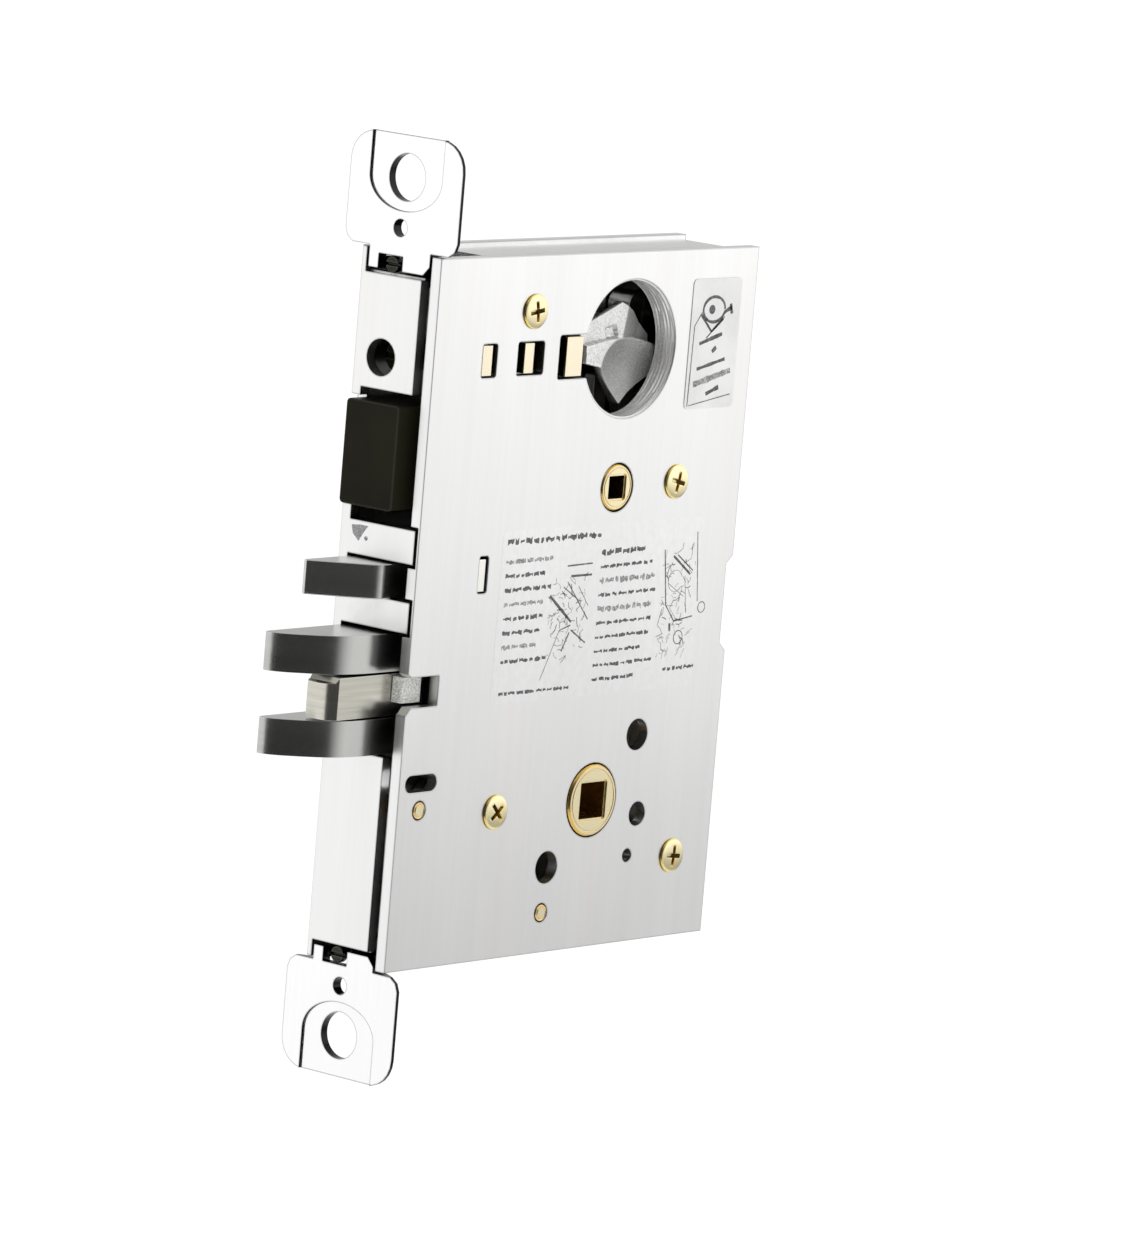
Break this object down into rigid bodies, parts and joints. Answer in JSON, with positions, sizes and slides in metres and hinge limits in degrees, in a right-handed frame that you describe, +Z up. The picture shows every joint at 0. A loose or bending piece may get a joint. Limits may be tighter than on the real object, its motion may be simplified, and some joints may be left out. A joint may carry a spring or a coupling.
{
  "type": "mortise lock",
  "caption": "Mortise lock body with sheet-steel case, swivelling front tabs, sliding deadbolt, latchbolt with pivoting tongue, guard bolt, lever hubs, thumbturn hub and cylinder clamp.",
  "frame": {"origin": "centre of the case's front face", "axes": "+X into the door, -Y out of the cover, +Z up along the case's height"},
  "size_m": [0.1311, 0.0318, 0.2032],
  "materials": {
    "steel": "zinc plated, brushed",
    "bright": "bright plated",
    "stainless": "satin stainless",
    "dark": "dark smooth",
    "cast": "fine cast grain",
    "brass": "pale sintered brass",
    "yellow": "yellow zinc plated",
    "spring": "spring wire",
    "paper": "printed film"
  },
  "bodies": {
    "case": {"case_shell": "steel", "case_cover": "steel", "cover_screw_upper": "yellow", "cover_screw_rear": "yellow", "cover_screw_lower": "yellow", "cover_screw_corner": "yellow", "case_post_upper": "bright", "case_post_rear": "bright", "case_post_lower": "bright", "case_post_corner": "bright", "cover_pin_front": "brass", "cover_pin_low": "brass", "cylinder_collar": "steel", "latch_guide": "steel", "guard_guide": "steel", "cylinder_lever_stud": "bright", "cylinder_block": "cast", "guard_stop": "bright", "deadlock_stud": "bright", "tab_pivot_top": "steel", "tab_pivot_bottom": "steel", "bevel_screw_top": "bright", "bevel_screw_bottom": "bright", "hub_return_spring": "spring", "latch_spring": "spring", "guard_spring": "spring", "case_label": "paper"},
    "tab_top": {"front_tab_top": "bright"},
    "tab_bottom": {"front_tab_bottom": "bright"},
    "deadbolt": {"deadbolt_head": "dark", "deadbolt_tail": "steel", "deadbolt_rivet": "steel"},
    "thumbturn": {"thumbturn_hub": "brass", "thumbturn_arm": "steel"},
    "cylinder_lever": {"cylinder_lever": "cast"},
    "hub_near": {"lever_hub_near": "brass"},
    "hub_far": {"lever_hub_far": "brass"},
    "latch": {"latchbolt": "stainless", "latch_pin": "steel", "latch_rod": "steel", "latch_washer": "steel"},
    "tongue": {"latch_tongue": "bright"},
    "guard": {"guard_bolt": "stainless", "guard_tail": "bright"},
    "deadlock": {"deadlock_lever": "steel"},
    "clamp": {"clamp_bar": "yellow"},
    "clamp_screw": {"clamp_screw": "steel"}
  },
  "joints": [
    {"name": "tab_top_swivel", "type": "hinge", "parent": "case", "child": "tab_top", "pos_m": [0.008, 0, 0.074], "axis": [0, 0, 1], "range_deg": [-3.5, 3.5]},
    {"name": "tab_bottom_swivel", "type": "hinge", "parent": "case", "child": "tab_bottom", "pos_m": [0.008, 0, -0.074], "axis": [0, 0, 1], "range_deg": [-3.5, 3.5]},
    {"name": "deadbolt_slide", "type": "slide", "parent": "case", "child": "deadbolt", "axis": [-1, 0, 0], "range_m": [0, 0.0254]},
    {"name": "thumbturn_turn", "type": "hinge", "parent": "case", "child": "thumbturn", "pos_m": [0.0639, 0, 0.0251], "axis": [0, -1, 0], "range_deg": [0, 90]},
    {"name": "cylinder_lever_turn", "type": "hinge", "parent": "case", "child": "cylinder_lever", "pos_m": [0.084, 0, 0.062], "axis": [0, 1, 0], "range_deg": [0, 60]},
    {"name": "lever_hub_turn", "type": "hinge", "parent": "case", "child": "hub_near", "pos_m": [0.0641, 0, -0.044], "axis": [0, 1, 0], "range_deg": [0, 48]},
    {"name": "far_hub_turn", "type": "hinge", "parent": "case", "child": "hub_far", "pos_m": [0.0641, 0, -0.044], "axis": [0, 1, 0], "range_deg": [0, 48]},
    {"name": "latch_slide", "type": "slide", "parent": "case", "child": "latch", "axis": [1, 0, 0], "range_m": [0, 0.019], "stiffness_N_per_m": 400, "springref_m": -0.01, "deforming": ["latch_spring"]},
    {"name": "tongue_swing", "type": "hinge", "parent": "latch", "child": "tongue", "pos_m": [0.007, 0.0034, -0.01755], "axis": [0, 0, -1], "range_deg": [0, 10]},
    {"name": "guard_slide", "type": "slide", "parent": "case", "child": "guard", "axis": [1, 0, 0], "range_m": [0, 0.009], "stiffness_N_per_m": 300, "springref_m": -0.008, "deforming": ["guard_spring"]},
    {"name": "deadlock_turn", "type": "hinge", "parent": "case", "child": "deadlock", "pos_m": [0.0315, 0, 0.0165], "axis": [0, -1, 0], "range_deg": [0, 50.8]},
    {"name": "clamp_screw_turn", "type": "hinge", "parent": "case", "child": "clamp_screw", "pos_m": [0.001, 0.003, 0.0538], "axis": [1, 0, 0], "range_deg": [0, 360]},
    {"name": "clamp_slide", "type": "slide", "parent": "case", "child": "clamp", "axis": [1, 0, 0], "range_m": [0, 0.001]}
  ],
  "couplings": [
    {"joint": "thumbturn_turn", "follows": "deadbolt_slide", "rad_per_m": 61.84},
    {"joint": "cylinder_lever_turn", "follows": "deadbolt_slide", "rad_per_m": 41.22},
    {"joint": "lever_hub_turn", "follows": "latch_slide", "rad_per_m": 44.09},
    {"joint": "far_hub_turn", "follows": "latch_slide", "rad_per_m": 44.09},
    {"joint": "deadlock_turn", "follows": "guard_slide", "rad_per_m": 98.3},
    {"joint": "clamp_screw_turn", "follows": "clamp_slide", "rad_per_m": 6283}
  ]
}
